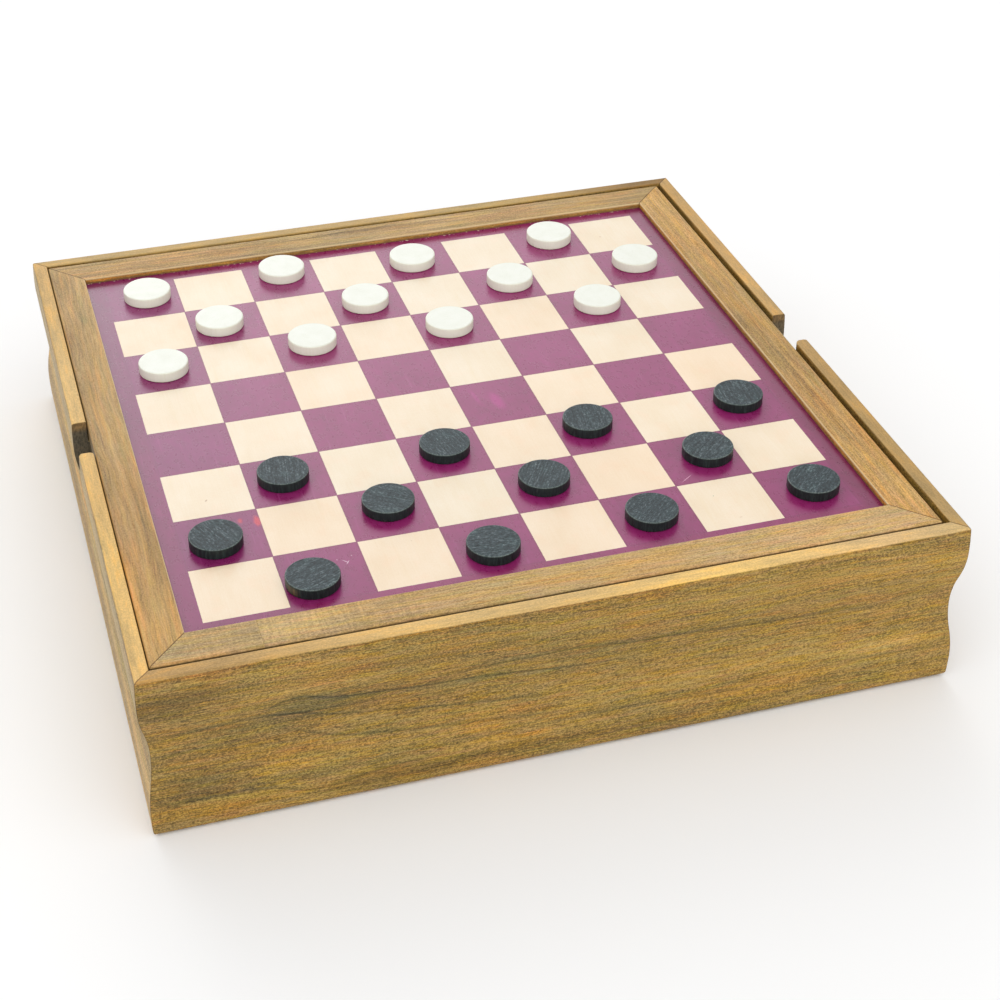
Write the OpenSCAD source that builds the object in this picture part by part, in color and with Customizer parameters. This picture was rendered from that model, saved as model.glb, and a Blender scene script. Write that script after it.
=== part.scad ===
/* [Box] */
// Overall width and depth of the square box, over the widest part of the moulding
box_w = 300; // [300:1:312]
// Height of the box, from the table to the top edge of the walls
box_h = 68.5; // [62:0.5:80]
// Thickness of the wall stock below the rebate that the board rests in
wall_t = 14; // [12:0.5:16]
// Thickness of the thin lip of the wall beside the board
lip_t = 6; // [4:0.5:8]
// Thickness of the plywood base
base_t = 5; // [3:0.5:6]
// Width of the rebate for the base along the bottom of each wall
base_rebate = 6; // [4:0.5:7]
// Thickness of the plywood dividers
divider_t = 4; // [3:0.5:5]
// Gap between the top of the dividers and the underside of the board
divider_gap = 2.3; // [1:0.1:5]
// Depth of the housings in the walls that hold the dividers
housing_d = 2; // [1:0.5:3]
// How far behind the middle of the box the long divider stands
long_divider_y = 40; // [20:1:50]

/* [Moulding] */
// Depth of the hollow in the moulding, from its widest plane
cove_d = 3; // [2:0.05:3.2]
// How far the lower crest of the moulding stands back from its widest plane
crest_d = 0.7; // [0.1:0.05:1.2]
// Height of the lower crest of the moulding above the table
crest_low = 10; // [8:0.5:14]
// Height of the deepest line of the hollow above the table
cove_z = 34.2; // [30:0.1:38]
// Height of the upper crest of the moulding above the table
crest_high = 57.5; // [52:0.5:58]
// Radius of the rounded bottom edge
foot_r = 2.5; // [1:0.1:3]
// Radius of the eased outer edge at the top
top_r = 1.1; // [0.4:0.1:2]

/* [Finger notches] */
// Width of the notch in each side wall, where the board is lifted
notch_w = 22; // [16:1:28]
// Depth of the notch, from the top edge of the wall
notch_d = 34; // [26:1:40]
// How far the notches are behind the middle of the box
notch_y = 0.9; // [-2:0.1:2]
// Radius of the rounded corners of the wall in front of the left notch
notch_r_left = 1.9; // [0.5:0.1:2.8]
// Radius of the rounded corners of the wall in front of the right notch
notch_r_right = 2.6; // [0.5:0.1:2.8]

/* [Board] */
// Width of the board, left to right
board_w = 285.6; // [284:0.2:286.4]
// Depth of the board, front to back
board_d = 285.4; // [284:0.2:286.4]
// Thickness of the rails round the board
rail_t = 9.2; // [8:0.2:12]
// Width of the side rails
rail_w_side = 14.2; // [12:0.2:18]
// Width of the front and rear rails
rail_w_end = 15; // [12:0.2:18]
// Depth of the playing face below the top of the rails
recess = 2.6; // [1.5:0.1:3]
// Thickness of the plywood playing panel
panel_t = 4; // [3:0.5:5]
// Depth of the groove in the rails that holds the panel
groove_d = 5; // [3:0.5:7]
// Width of one square of the draughts board
square = 30.4; // [29:0.1:31]
// How far the loose board lies to the right of the middle of the box
board_dx = -0.9; // [-1:0.1:1]
// How far the loose board lies behind the middle of the box
board_dy = -0.2; // [-1:0.1:1]
// Where the two lengths of the front rail meet, from the middle of the board
rail_joint_x = -104.5; // [-110:0.5:-60]

/* [Draughtsmen] */
// Diameter of a dark draughtsman
dark_d = 19.4; // [17:0.1:21]
// Thickness of a dark draughtsman
dark_h = 4.2; // [3:0.1:6]
// Diameter of a light draughtsman
light_d = 20; // [17:0.1:21]
// Thickness of a light draughtsman
light_h = 4.4; // [3:0.1:6]

/* [Games inside] */
// Length of a domino
domino_l = 40; // [34:1:42]
// Width of a domino
domino_w = 20; // [17:0.5:20]
// Thickness of a domino
domino_t = 6; // [4:0.5:8]
// Width of a die
die_w = 14; // [10:1:16]

/* [Hidden] */

half = box_w / 2;
seat_z = box_h - rail_t;                 // the ledge that the board rests on
face_z = box_h - recess;                 // the playing face
divider_z = seat_z - divider_gap;        // the top of the dividers
inner = half - wall_t;                   // half of the clear space inside the walls
divider_end = inner + housing_d;
bw = board_w / 2;
bd = board_d / 2;
pine = "#b08a4c";
ply = "#d9b987";
purple = "#9a4a7e";
charcoal = "#2f3a3a";
ivory = "#f2f0e0";

// Inset of the moulded face at a distance u from a crest, towards a hollow that is
// length l away and d deep: two equal arcs that meet on the slope
function ogee(u, l, d) =
    let (r = (l * l + d * d) / (4 * d))
    u <= l / 2 ? r - sqrt(r * r - u * u) : d - r + sqrt(r * r - (l - u) * (l - u));
// Inset of the moulded face at height z
function inset(z) =
    z < crest_low ? crest_d + pow(crest_low - z, 2) / 300
    : z < cove_z ? crest_d + ogee(z - crest_low, cove_z - crest_low, cove_d - crest_d)
    : z < crest_high ? ogee(crest_high - z, crest_high - cove_z, cove_d)
    : pow(z - crest_high, 2) / 300;
// Quarter-round of radius r about [x, y], from angle a to angle b
function arc(x, y, r, a, b, n = 5) = [for (i = [0 : n]) [x + r * cos(a + (b - a) * i / n), y + r * sin(a + (b - a) * i / n)]];

// Section of a wall: first number inwards from the widest plane, second number upwards
wall_section = concat(
    arc(inset(foot_r) + foot_r, foot_r, foot_r, 270, 180),
    [for (i = [1 : 45]) let (z = foot_r + (box_h - top_r - foot_r) * i / 46) [inset(z), z]],
    arc(inset(box_h - top_r) + top_r, box_h - top_r, top_r, 180, 90),
    arc(lip_t - 0.5, box_h - 0.5, 0.5, 90, 0, 2),
    [[lip_t, seat_z], [wall_t, seat_z], [wall_t, base_t], [wall_t - base_rebate, base_t], [wall_t - base_rebate, 0]]
);

// A plain mitred wall along the front
module wall_blank() {
    intersection() {
        translate([-half, -half, 0]) rotate([90, 0, 90]) linear_extrude(box_w) polygon(wall_section);
        translate([0, 0, -1]) linear_extrude(box_h + 2)
            polygon([[-half, -half], [half, -half], [half - wall_t, wall_t - half], [wall_t - half, wall_t - half]]);
    }
}

// Cutter for a finger notch through the left wall. The wall in front of it has corners of radius e, seen from above:
// the outer one all the way down the notch, the inner one on the thin lip only
module notch_cut(e) {
    r = notch_w / 2;
    translate([-half, notch_y, 0]) {
        rotate([90, 0, 90]) translate([0, 0, -1]) linear_extrude(wall_t + 2) {
            translate([0, box_h - notch_d + r]) circle(r, $fn = 64);
            translate([-r, box_h - notch_d + r]) square([notch_w, notch_d]);
        }
        for (side = [0, 1]) {
            low = side == 0 ? box_h - notch_d + r : seat_z;
            translate([side * lip_t, -r, low]) mirror([side, 0, 0]) linear_extrude(box_h - low + 1) difference() {
                translate([-1, -e]) square([1 + e, e + 0.5]);
                translate([e, -e]) circle(e, $fn = 32);
            }
        }
    }
}

// Cutter for a housing in a wall that holds the end of a divider, along Y
module housing_cut() {
    translate([-divider_t / 2, -divider_end, base_t]) cube([divider_t, 2 * divider_end, seat_z - base_t + 1]);
}

module front_wall() { color(pine) difference() { wall_blank(); housing_cut(); } }
module rear_wall() { color(pine) difference() { rotate([0, 0, 180]) wall_blank(); housing_cut(); } }
module left_wall() {
    color(pine) difference() {
        rotate([0, 0, 270]) wall_blank();
        notch_cut(notch_r_left);
        translate([0, long_divider_y, 0]) rotate([0, 0, 90]) housing_cut();
    }
}
module right_wall() {
    color(pine) difference() {
        rotate([0, 0, 90]) wall_blank();
        mirror([1, 0, 0]) notch_cut(notch_r_right);
        translate([0, long_divider_y, 0]) rotate([0, 0, 90]) housing_cut();
    }
}

// Plywood base, in the rebate along the bottom of the walls
module base_panel() {
    b = inner + base_rebate;
    color(ply) translate([-b, -b, 0]) cube([2 * b, 2 * b, base_t]);
}

// The two dividers are halved over each other where they cross
module long_divider() {
    color(ply) difference() {
        translate([-divider_end, long_divider_y - divider_t / 2, base_t]) cube([2 * divider_end, divider_t, divider_z - base_t]);
        translate([-divider_t / 2, long_divider_y - divider_t, (base_t + divider_z) / 2]) cube([divider_t, 2 * divider_t, box_h]);
    }
}
module cross_divider() {
    color(ply) difference() {
        translate([-divider_t / 2, -divider_end, base_t]) cube([divider_t, 2 * divider_end, divider_z - base_t]);
        translate([-divider_t, long_divider_y - divider_t / 2, 0]) cube([2 * divider_t, divider_t, (base_t + divider_z) / 2]);
    }
}

// Section of a rail of width w: first number inwards from its outer face, second number upwards
function rail_section(w) = let (r = 1, e = 0.4, g = box_h - recess) concat(
    arc(r, seat_z + r, r, 270, 180),
    arc(r, box_h - r, r, 180, 90),
    arc(w - e, box_h - e, e, 90, 0, 2),
    [[w, g], [w - groove_d, g], [w - groove_d, g - panel_t], [w, g - panel_t]],
    arc(w - e, seat_z + e, e, 360, 270, 2)
);
// A rail along an edge at distance d from the middle, mitred to corners at half-width h outside and k inside
module rail(w, d, h, k) {
    intersection() {
        translate([-h, -d, 0]) rotate([90, 0, 90]) linear_extrude(2 * h) polygon(rail_section(w));
        translate([0, 0, seat_z - 1]) linear_extrude(rail_t + 2)
            polygon([[-h, -d], [h, -d], [k, w - d], [-k, w - d]]);
    }
}
module at_board() { translate([board_dx, board_dy, 0]) children(); }
module front_rail() { rail(rail_w_end, bd, bw, bw - rail_w_side); }

module front_rail_short() {
    color(pine) at_board() intersection() {
        front_rail();
        translate([-bw - 1, -bd - 1, seat_z - 1]) cube([bw + 1 + rail_joint_x, rail_w_end + 2, rail_t + 2]);
    }
}
module front_rail_long() {
    color(pine) at_board() intersection() {
        front_rail();
        translate([rail_joint_x, -bd - 1, seat_z - 1]) cube([bw + 1 - rail_joint_x, rail_w_end + 2, rail_t + 2]);
    }
}
module rear_rail() { color(pine) at_board() rotate([0, 0, 180]) front_rail(); }
module left_rail() { color(pine) at_board() rotate([0, 0, 270]) rail(rail_w_side, bw, bd, bd - rail_w_end); }
module right_rail() { color(pine) at_board() rotate([0, 0, 90]) rail(rail_w_side, bw, bd, bd - rail_w_end); }
module playing_panel() {
    pw = bw - rail_w_side + groove_d;
    pd = bd - rail_w_end + groove_d;
    color(purple) at_board() translate([-pw, -pd, face_z - panel_t]) cube([2 * pw, 2 * pd, panel_t]);
}

// Where each draughtsman stands: column, row, and how far it is off the middle of its square
dark_place = [
    [2, 1, -5, -4], [4, 1, -0.5, -3.5], [6, 1, -0.5, -0.5], [8, 1, 2.5, 0],
    [1, 2, -2.5, -2], [3, 2, 1, 2.5], [5, 2, -0.5, 1], [7, 2, 4, 1.5],
    [2, 3, -1.5, 1], [4, 3, 0.5, 2], [6, 3, -2.5, 3], [8, 3, -0.5, 3]
];
light_place = [
    [1, 6, -1, 0.5], [3, 6, 0.5, 3.5], [5, 6, -2, 1], [7, 6, 3, 1.5],
    [2, 7, -3, -0.5], [4, 7, -0.5, 0.5], [6, 7, 3.5, 0.5], [8, 7, 1, 1.5],
    [1, 8, 2, 2], [3, 8, 1, 6], [5, 8, -2, 0], [7, 8, 2, 3]
];
module draughtsman(p, d, h, c) {
    r = d / 2;
    e = 0.5;
    color(c) at_board() translate([(p[0] - 4.5) * square + p[2], (p[1] - 4.5) * square + p[3], face_z])
        rotate_extrude($fn = 96) polygon(concat([[0, 0]], arc(r - e, e, e, 270, 360, 3), arc(r - e, h - e, e, 0, 90, 3), [[0, h]]));
}
module dark(i) { draughtsman(dark_place[i - 1], dark_d, dark_h, charcoal); }
module light(i) { draughtsman(light_place[i - 1], light_d, light_h, ivory); }

module dark_draughtsman_01() { dark(1); }
module dark_draughtsman_02() { dark(2); }
module dark_draughtsman_03() { dark(3); }
module dark_draughtsman_04() { dark(4); }
module dark_draughtsman_05() { dark(5); }
module dark_draughtsman_06() { dark(6); }
module dark_draughtsman_07() { dark(7); }
module dark_draughtsman_08() { dark(8); }
module dark_draughtsman_09() { dark(9); }
module dark_draughtsman_10() { dark(10); }
module dark_draughtsman_11() { dark(11); }
module dark_draughtsman_12() { dark(12); }
module light_draughtsman_01() { light(1); }
module light_draughtsman_02() { light(2); }
module light_draughtsman_03() { light(3); }
module light_draughtsman_04() { light(4); }
module light_draughtsman_05() { light(5); }
module light_draughtsman_06() { light(6); }
module light_draughtsman_07() { light(7); }
module light_draughtsman_08() { light(8); }
module light_draughtsman_09() { light(9); }
module light_draughtsman_10() { light(10); }
module light_draughtsman_11() { light(11); }
module light_draughtsman_12() { light(12); }

// One domino with eased edges, lying flat about its centre
module domino() {
    e = 0.6;
    intersection() {
        linear_extrude(domino_t) polygon(concat(
            arc(domino_l / 2 - 1.5, domino_w / 2 - 1.5, 1.5, 0, 90, 3), arc(1.5 - domino_l / 2, domino_w / 2 - 1.5, 1.5, 90, 180, 3),
            arc(1.5 - domino_l / 2, 1.5 - domino_w / 2, 1.5, 180, 270, 3), arc(domino_l / 2 - 1.5, 1.5 - domino_w / 2, 1.5, 270, 360, 3)));
        translate([-domino_l, 0, 0]) rotate([90, 0, 90]) linear_extrude(2 * domino_l) polygon([
            [-domino_w / 2 + e, 0], [domino_w / 2 - e, 0], [domino_w / 2, e], [domino_w / 2, domino_t - e],
            [domino_w / 2 - e, domino_t], [-domino_w / 2 + e, domino_t], [-domino_w / 2, domino_t - e], [-domino_w / 2, e]]);
        translate([0, domino_w, 0]) rotate([90, 0, 0]) linear_extrude(2 * domino_w) polygon([
            [-domino_l / 2 + e, 0], [domino_l / 2 - e, 0], [domino_l / 2, e], [domino_l / 2, domino_t - e],
            [domino_l / 2 - e, domino_t], [-domino_l / 2 + e, domino_t], [-domino_l / 2, domino_t - e], [-domino_l / 2, e]]);
    }
}
// The set of twenty-eight, stacked three deep in the rear left compartment
module dominoes() {
    color(ivory) for (i = [0 : 27]) {
        layer = floor(i / 12);
        k = i % 12;
        translate([-inner + 3 + domino_l / 2 + (k % 3) * (domino_l + 2),
                   long_divider_y + divider_t / 2 + 2.5 + domino_w / 2 + floor(k / 3) * (domino_w + 2),
                   base_t + layer * (domino_t + 0.05)]) domino();
    }
}

// A die with corners cut by a ball and a drilled pip for each spot
module die() {
    h = die_w / 2;
    p = die_w * 0.26;
    r = die_w * 0.09;
    spots = [
        [[0, 0]],
        [[-1, -1], [1, 1]],
        [[-1, -1], [0, 0], [1, 1]],
        [[-1, -1], [-1, 1], [1, -1], [1, 1]],
        [[-1, -1], [-1, 1], [0, 0], [1, -1], [1, 1]],
        [[-1, -1], [-1, 0], [-1, 1], [1, -1], [1, 0], [1, 1]]
    ];
    turns = [[0, 0, 0], [90, 0, 0], [0, 90, 0], [0, -90, 0], [-90, 0, 0], [180, 0, 0]];
    translate([0, 0, h]) difference() {
        intersection() {
            cube(die_w, center = true);
            sphere(die_w * 0.74, $fn = 96);
        }
        for (f = [0 : 5]) rotate(turns[f]) for (s = spots[f]) translate([s[0] * p, s[1] * p, h + r * 0.35]) sphere(r, $fn = 32);
    }
}
module die_1() { color(ivory) translate([58, 96, base_t]) rotate([0, 0, 22]) die(); }
module die_2() { color(ivory) translate([88, 74, base_t]) rotate([0, 0, -36]) die(); }

front_wall();
rear_wall();
left_wall();
right_wall();
base_panel();
long_divider();
cross_divider();
front_rail_short();
front_rail_long();
rear_rail();
left_rail();
right_rail();
playing_panel();
dark_draughtsman_01();
dark_draughtsman_02();
dark_draughtsman_03();
dark_draughtsman_04();
dark_draughtsman_05();
dark_draughtsman_06();
dark_draughtsman_07();
dark_draughtsman_08();
dark_draughtsman_09();
dark_draughtsman_10();
dark_draughtsman_11();
dark_draughtsman_12();
light_draughtsman_01();
light_draughtsman_02();
light_draughtsman_03();
light_draughtsman_04();
light_draughtsman_05();
light_draughtsman_06();
light_draughtsman_07();
light_draughtsman_08();
light_draughtsman_09();
light_draughtsman_10();
light_draughtsman_11();
light_draughtsman_12();
dominoes();
die_1();
die_2();
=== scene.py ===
"""Games compendium box: the looks of the part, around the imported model."""
import math
import random

import bmesh
import bpy
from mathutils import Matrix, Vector
from mathutils.bvhtree import BVHTree


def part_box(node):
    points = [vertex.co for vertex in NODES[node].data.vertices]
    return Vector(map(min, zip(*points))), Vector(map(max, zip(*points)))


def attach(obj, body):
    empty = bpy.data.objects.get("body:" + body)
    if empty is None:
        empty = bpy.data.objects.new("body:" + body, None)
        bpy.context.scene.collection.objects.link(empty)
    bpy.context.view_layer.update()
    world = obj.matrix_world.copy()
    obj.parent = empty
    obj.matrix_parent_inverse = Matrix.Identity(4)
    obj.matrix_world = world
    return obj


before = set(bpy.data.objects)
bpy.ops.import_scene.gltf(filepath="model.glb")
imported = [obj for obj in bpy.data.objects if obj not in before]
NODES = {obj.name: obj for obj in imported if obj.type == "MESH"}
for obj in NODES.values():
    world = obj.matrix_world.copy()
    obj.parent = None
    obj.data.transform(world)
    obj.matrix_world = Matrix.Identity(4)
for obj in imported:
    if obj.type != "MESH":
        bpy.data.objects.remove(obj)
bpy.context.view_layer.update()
scene = bpy.context.scene

# ---------------------------------------------------------------- camera

cam = bpy.data.objects.new("camera", bpy.data.cameras.new("camera"))
scene.collection.objects.link(cam)
cam.location = (-0.185722, -0.653384, 0.484253)
cam.rotation_mode = "QUATERNION"
cam.rotation_quaternion = (0.870358, 0.4712357, -0.0664838, -0.1264663)
cam.data.sensor_fit = "HORIZONTAL"
cam.data.sensor_width = 36.0
cam.data.lens = 71.7994
cam.data.shift_x = 0.035
cam.data.shift_y = -0.06
cam.data.clip_start = 0.01
cam.data.clip_end = 60.0
scene.camera = cam

# ---------------------------------------------------------------- node helpers


class Net:
    """A short way to write a shader's nodes."""

    def __init__(self, tree):
        self.t = tree
        tree.nodes.clear()

    def put(self, socket, value):
        if value is None:
            return
        if isinstance(value, bpy.types.NodeSocket):
            self.t.links.new(value, socket)
        elif isinstance(value, (tuple, list)) and len(value) == 3 and socket.type == "RGBA":
            socket.default_value = (*value, 1.0)
        else:
            socket.default_value = value

    def node(self, kind, ins=(), **props):
        n = self.t.nodes.new(kind)
        for k, v in props.items():
            setattr(n, k, v)
        for k, v in dict(ins).items():
            self.put(n.inputs[k], v)
        return n

    def m(self, op, a, b=None, c=None, clamp=False):
        n = self.node("ShaderNodeMath", operation=op, use_clamp=clamp)
        for i, v in enumerate((a, b, c)):
            self.put(n.inputs[i], v)
        return n.outputs[0]

    def add(self, a, b):
        return self.m("ADD", a, b)

    def sub(self, a, b):
        return self.m("SUBTRACT", a, b)

    def mul(self, a, b):
        return self.m("MULTIPLY", a, b)

    def vec(self, x, y, z):
        return self.node("ShaderNodeCombineXYZ", {0: x, 1: y, 2: z}).outputs[0]

    def split(self, v):
        n = self.node("ShaderNodeSeparateXYZ", {0: v})
        return n.outputs[0], n.outputs[1], n.outputs[2]

    def noise(self, v, scale=1.0, detail=2.0, rough=0.5, dims="3D", distortion=0.0, w=None, out=0):
        n = self.node("ShaderNodeTexNoise", noise_dimensions=dims)
        if dims != "1D":
            self.put(n.inputs["Vector"], v)
        if dims in ("1D", "4D"):
            self.put(n.inputs["W"], w)
        n.inputs["Scale"].default_value = scale
        n.inputs["Detail"].default_value = detail
        n.inputs["Roughness"].default_value = rough
        n.inputs["Distortion"].default_value = distortion
        return n.outputs[out]

    def voronoi(self, v, scale=1.0, feature="F1", rand=1.0, out="Distance"):
        n = self.node("ShaderNodeTexVoronoi", {"Vector": v}, feature=feature)
        n.inputs["Scale"].default_value = scale
        n.inputs["Randomness"].default_value = rand
        return n.outputs[out]

    def step(self, v, lo, hi, a=0.0, b=1.0):
        """v from lo to hi becomes a to b, smoothly."""
        n = self.node("ShaderNodeMapRange", interpolation_type="SMOOTHSTEP")
        for i, x in enumerate((v, lo, hi, a, b)):
            self.put(n.inputs[i], x)
        return n.outputs[0]

    def lin(self, v, lo, hi, a=0.0, b=1.0):
        n = self.node("ShaderNodeMapRange", interpolation_type="LINEAR", clamp=True)
        for i, x in enumerate((v, lo, hi, a, b)):
            self.put(n.inputs[i], x)
        return n.outputs[0]

    def ramp(self, v, stops, mode="LINEAR"):
        n = self.node("ShaderNodeValToRGB", {0: v})
        n.color_ramp.interpolation = mode
        e = n.color_ramp.elements
        while len(e) > 1:
            e.remove(e[-1])
        for i, (p, c) in enumerate(stops):
            x = e[0] if i == 0 else e.new(p)
            x.position = p
            x.color = (*c, 1.0)
        return n.outputs[0]

    def mix(self, f, a, b, mode="MIX"):
        n = self.node("ShaderNodeMix", data_type="RGBA", blend_type=mode, clamp_factor=True)
        self.put(n.inputs[0], f)
        self.put(n.inputs[6], a)
        self.put(n.inputs[7], b)
        return n.outputs[2]

    def bump(self, height, distance, strength=1.0, normal=None):
        n = self.node("ShaderNodeBump", {"Height": height, "Strength": strength, "Distance": distance})
        self.put(n.inputs["Normal"], normal)
        return n.outputs[0]

    def surface(self, **ins):
        b = self.node("ShaderNodeBsdfPrincipled")
        for k, v in ins.items():
            self.put(b.inputs[k.replace("_", " ")], v)
        o = self.node("ShaderNodeOutputMaterial")
        self.t.links.new(b.outputs[0], o.inputs[0])
        return b


def material(name):
    m = bpy.data.materials.new(name)
    m.use_nodes = True
    return m, Net(m.node_tree)


def millimetres(n):
    """The piece's own coordinates, in millimetres."""
    c = n.node("ShaderNodeTexCoord").outputs["Object"]
    v = n.node("ShaderNodeVectorMath", {0: c, 1: (1000.0, 1000.0, 1000.0)}, operation="MULTIPLY").outputs[0]
    return v


# ---------------------------------------------------------------- studio

world = bpy.data.worlds.new("studio")
scene.world = world
world.use_nodes = True
w = Net(world.node_tree)
d = w.node("ShaderNodeTexCoord").outputs["Generated"]


def lobe(direction, power, strength):
    v = Vector(direction).normalized()
    dot = w.node("ShaderNodeVectorMath", {0: d, 1: tuple(v)}, operation="DOT_PRODUCT").outputs["Value"]
    return w.mul(w.m("POWER", w.m("MAXIMUM", dot, 0.0), power), strength)


# a white room: a large soft light behind the object, a broad one in front of it, and fill all round
glow = w.add(lobe((0.0, 0.927, 0.375), 12.0, 2.9), lobe((-0.2, -0.8, 0.30), 1.0, 0.98))
glow = w.add(glow, lobe((0.0, 0.0, 1.0), 2.0, 0.32))
glow = w.add(glow, 0.45)
bg = w.node("ShaderNodeBackground", {"Color": (1.0, 1.0, 1.0), "Strength": glow})
# behind the floor's edge the room is plain white
plain = w.node("ShaderNodeBackground", {"Color": (1.0, 1.0, 1.0), "Strength": 1.0})
seen = w.node("ShaderNodeLightPath").outputs["Is Camera Ray"]
room = w.node("ShaderNodeMixShader", {0: seen, 1: bg.outputs[0], 2: plain.outputs[0]})
out = w.node("ShaderNodeOutputWorld")
w.t.links.new(room.outputs[0], out.inputs[0])

floor_mesh = bpy.data.meshes.new("floor")
floor_mesh.from_pydata([(-20, -20, 0), (20, -20, 0), (20, 20, 0), (-20, 20, 0)], [], [(0, 1, 2, 3)])
floor = bpy.data.objects.new("floor", floor_mesh)
floor.location.z = -0.0002
scene.collection.objects.link(floor)
fm, n = material("floor")
n.surface(Base_Color=(0.95, 0.95, 0.95), Roughness=0.9, Specular_IOR_Level=0.1)
floor_mesh.materials.append(fm)

# ---------------------------------------------------------------- wood

HALF = 150.0
BW, BD, DX, DY = 142.8, 142.7, -0.9, -0.2  # the loose board, in millimetres


def curve(n, value, points, lo, hi, out_lo, out_hi):
    """The height of a line, given as points, at a place along the board."""
    f = n.lin(value, lo, hi)
    c = n.node("ShaderNodeFloatCurve", {"Value": f})
    pts = c.mapping.curves[0].points
    norm = [((x - lo) / (hi - lo), (y - out_lo) / (out_hi - out_lo)) for x, y in points]
    pts[0].location, pts[1].location = norm[0], norm[-1]
    for q in norm[1:-1]:
        pts.new(*q)
    c.mapping.update()
    return n.lin(c.outputs[0], 0.0, 1.0, out_lo, out_hi)


def wood(
    name,
    axes,
    heart,
    seed,
    tilt=0.0,
    spacing=4.0,
    wobble=1.0,
    dark=(0.15, 0.092, 0.028),
    mid=(0.35, 0.222, 0.062),
    light=(0.56, 0.375, 0.125),
    bands=1.0,
    contrast=1.0,
    lines=(),
    patches=(),
    lip=None,
    chatter=(),
    rail=None,
    rough=0.5,
    tones=(),
    fine=1.0,
    streak=0.0,
    stains=(),
    height_tints=(),
    gap_top=67.2,
    sawn_end=((0.035, 0.033, 0.025), (0.095, 0.080, 0.055)),
    outer_highlight=0.0,
    streak_wide=1.0,
):
    """Stained wood. axes says which of x, y, z run along the grain, across it and into the board. heart is where the
    growth rings are centred, across and into the board. lines are dark growth lines, with a grey-green
    shade beside them: points (along, across), width of the shade below, width above, strength. patches are (along,
    across, half length, half width, strength): below 0 darkens. stains are the same with a colour factor before the
    strength. tones change the stain along the board: (along, colour factor). height_tints are (low, high, softness,
    colour, strength): bands of colour in height. fine is how strong the short grain is, streak how strong the long
    streaks are, streak_wide how broad they are."""
    m, n = material(name)
    p = millimetres(n)
    xyz = dict(zip("xyz", n.split(p)))
    l, a, b = (xyz[k] for k in axes)
    x, y, z = xyz["x"], xyz["y"], xyz["z"]

    slow = n.noise(n.vec(n.mul(l, 0.010), n.mul(a, 0.022), n.add(n.mul(b, 0.022), seed)), 1.0, 2.0, 0.5)
    wave = n.noise(n.vec(n.mul(l, 0.05), n.mul(a, 0.10), n.add(n.mul(b, 0.10), seed + 7.0)), 1.0, 2.0, 0.5)
    wander = n.add(n.mul(n.sub(slow, 0.5), 9.0 * wobble), n.mul(n.sub(wave, 0.5), 2.0 * wobble))
    da = n.sub(n.add(a, wander), heart[0])
    db = n.add(n.sub(b, heart[1]), n.mul(l, tilt))
    r = n.m("SQRT", n.add(n.mul(da, da), n.mul(db, db)))
    ring = n.noise(None, 1.0, 3.0, 0.5, dims="1D", w=n.add(n.mul(r, 0.6 / spacing), seed * 3.1))
    aw = n.add(a, n.mul(wander, 0.7))
    fibre = n.noise(n.vec(n.mul(l, 0.065), n.mul(aw, 1.7), n.add(n.mul(b, 1.7), seed)), 1.0, 2.0, 0.6)
    thread = n.noise(n.vec(n.mul(l, 0.30), n.mul(aw, 2.2), n.add(n.mul(b, 2.2), seed + 5.0)), 1.0, 2.0, 0.6)
    speck = n.noise(n.vec(n.mul(l, 1.20), n.mul(a, 1.9), n.add(n.mul(b, 1.9), seed + 3.0)), 1.0, 3.0, 0.75)
    cloud = n.noise(n.vec(n.mul(l, 0.012), n.mul(a, 0.050), n.add(n.mul(b, 0.050), seed + 11.0)), 1.0, 2.0, 0.5)
    stripe = n.noise(n.vec(n.mul(l, 0.022), n.mul(aw, 0.55 / streak_wide), n.add(n.mul(b, 0.55 / streak_wide), seed + 61.0)), 1.0, 3.0, 0.6)

    v = n.mul(n.sub(ring, 0.5), 0.60 * bands)
    v = n.add(v, n.mul(n.sub(fibre, 0.5), 0.75 * contrast))
    v = n.add(v, n.mul(n.sub(thread, 0.5), 0.50 * contrast * fine))
    v = n.add(v, n.mul(n.sub(speck, 0.5), 1.90 * contrast * fine))
    v = n.add(v, n.mul(n.sub(cloud, 0.5), 0.40 * bands))
    v = n.add(v, n.mul(n.sub(stripe, 0.5), 0.75 * streak))

    wet, mist = 0.0, 0.0
    for pts, below, above, strength in lines:
        lo, hi = pts[0][0], pts[-1][0]
        line = curve(n, l, pts, lo, hi, 0.0, 70.0)
        off = n.sub(n.add(a, n.mul(n.sub(wave, 0.5), 1.4)), line)
        core = n.step(n.m("ABSOLUTE", off), 0.80, 0.12)
        side = n.mul(n.step(off, -below, -0.2), n.step(off, 0.2, above, 1.0, 0.0))
        ends = n.mul(n.step(l, lo, lo + 0.14 * (hi - lo)), n.step(l, hi - 0.30 * (hi - lo), hi, 1.0, 0.0))
        broken = n.lin(thread, 0.30, 0.65, 0.55, 1.0)
        wet = n.add(wet, n.mul(n.mul(n.mul(core, ends), broken), strength))
        mist = n.add(mist, n.mul(n.mul(n.mul(side, ends), n.lin(fibre, 0.35, 0.65, 0.65, 1.0)), strength))

    def blot(pl, pa, hl, ha):
        ql, qa = n.mul(n.sub(l, pl), 1.0 / hl), n.mul(n.sub(n.add(a, n.mul(wander, 0.6)), pa), 1.0 / ha)
        dist = n.m("SQRT", n.add(n.mul(ql, ql), n.mul(qa, qa)))
        dist = n.add(dist, n.mul(n.sub(thread, 0.5), 0.5))
        dist = n.add(dist, n.mul(n.sub(fibre, 0.5), 0.6))
        return n.step(dist, 0.15, 1.15, 1.0, 0.0)

    for *where, strength in patches:
        v = n.add(v, n.mul(blot(*where), strength))

    v = n.add(v, 0.5)
    col = n.ramp(v, [(0.02, tuple(0.55 * c for c in dark)), (0.26, dark), (0.5, mid), (0.76, light),
                     (1.0, tuple(min(1.0, 1.25 * c) for c in light))])
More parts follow.
